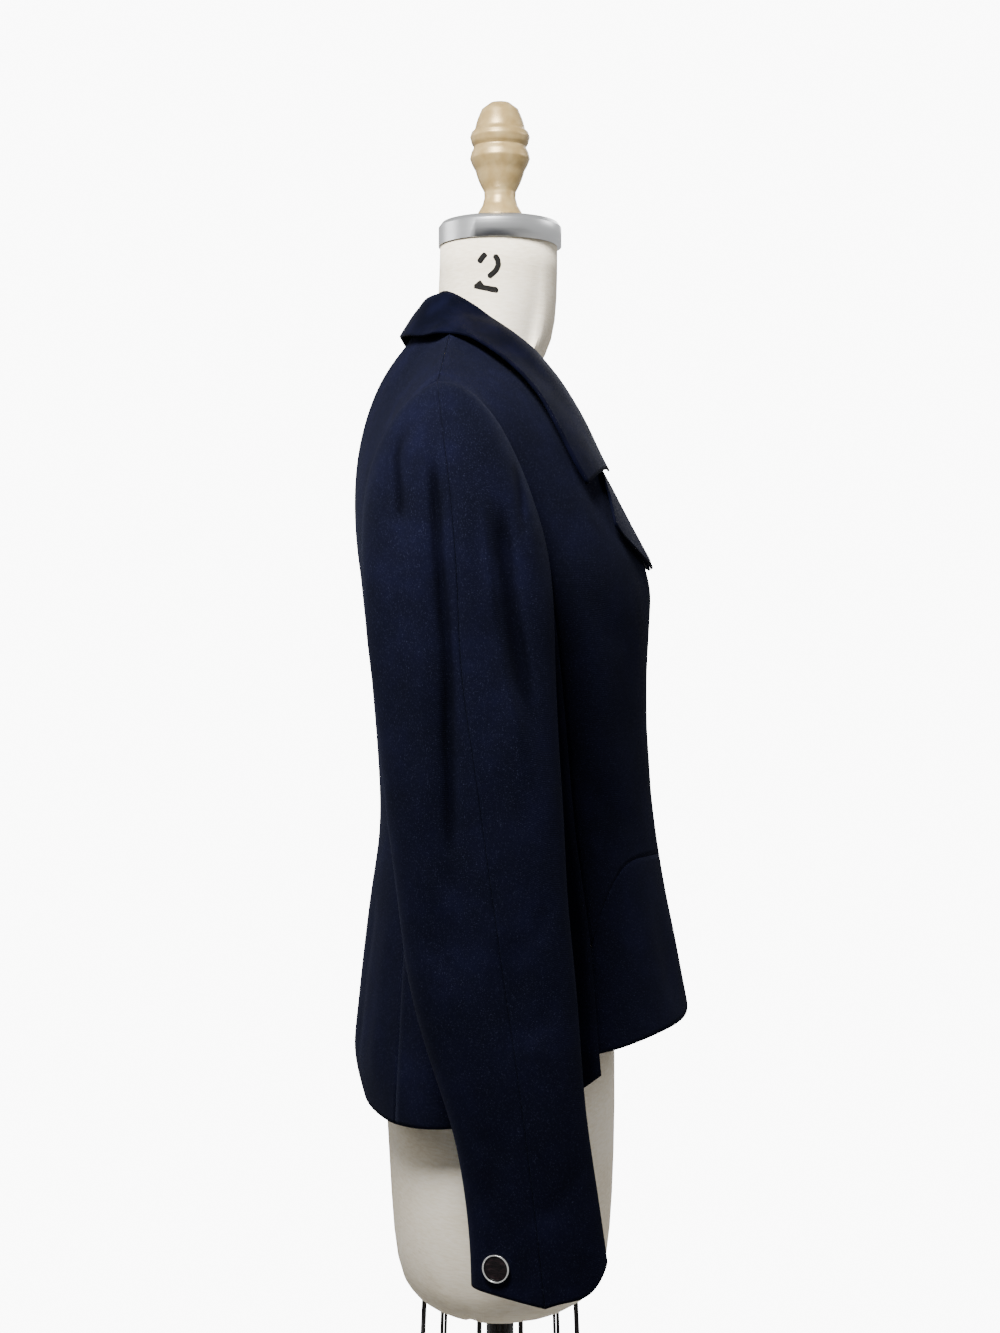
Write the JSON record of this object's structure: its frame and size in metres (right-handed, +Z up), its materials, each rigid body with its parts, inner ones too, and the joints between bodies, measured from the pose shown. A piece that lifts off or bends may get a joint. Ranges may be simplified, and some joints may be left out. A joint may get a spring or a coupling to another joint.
{
  "type": "blazer on a dress form",
  "caption": "Fitted long-sleeved wool blazer with notched collar, worn on a limbless dress form on a weighted stand.",
  "frame": {"origin": "on the floor under the pole, at the centre of the base", "axes": "+Z up, -Y towards the wearer's front, -X towards the wearer's right"},
  "size_m": [0.5182, 0.43, 1.476],
  "materials": {
    "navy_wool": "fine matte worsted wool, near-black navy",
    "collar_cloth": "smoother, darker navy cloth with a slight sheen",
    "form_linen": "cream linen stretched over the form",
    "spun_aluminium": "spun, satin",
    "bronze_paint": "dull bronze paint",
    "black_paint": "black, semi-gloss",
    "silver_rim": "polished",
    "button_disc": "dark, glossy, plain"
  },
  "bodies": {
    "root": {"front_right": "navy_wool", "front_left": "navy_wool", "front_skirt_right": "navy_wool", "front_skirt_left": "navy_wool", "side_right": "navy_wool", "side_left": "navy_wool", "back_right": "navy_wool", "back_left": "navy_wool", "sleeve_top_front_right": "navy_wool", "sleeve_top_front_left": "navy_wool", "sleeve_top_back_right": "navy_wool", "sleeve_top_back_left": "navy_wool", "sleeve_under_right": "navy_wool", "sleeve_under_left": "navy_wool", "collar": "collar_cloth", "collar_stand": "collar_cloth", "lapel_right": "collar_cloth", "lapel_left": "collar_cloth", "cuff_button_rim_right": "silver_rim", "cuff_button_rim_left": "silver_rim", "cuff_button_disc_right": "button_disc", "cuff_button_disc_left": "button_disc", "form_torso": "form_linen", "neck_cap": "spun_aluminium", "finial": "bronze_paint", "pole": "black_paint", "base": "black_paint", "cage_hoop_lower": "black_paint", "cage_hoop_middle": "black_paint", "cage_wire_01": "black_paint", "cage_wire_02": "black_paint", "cage_wire_03": "black_paint", "cage_wire_04": "black_paint", "cage_wire_05": "black_paint", "cage_wire_06": "black_paint", "cage_wire_07": "black_paint", "cage_wire_08": "black_paint", "cage_wire_09": "black_paint", "cage_wire_10": "black_paint", "cage_wire_11": "black_paint", "cage_wire_12": "black_paint"}
  },
  "joints": []
}
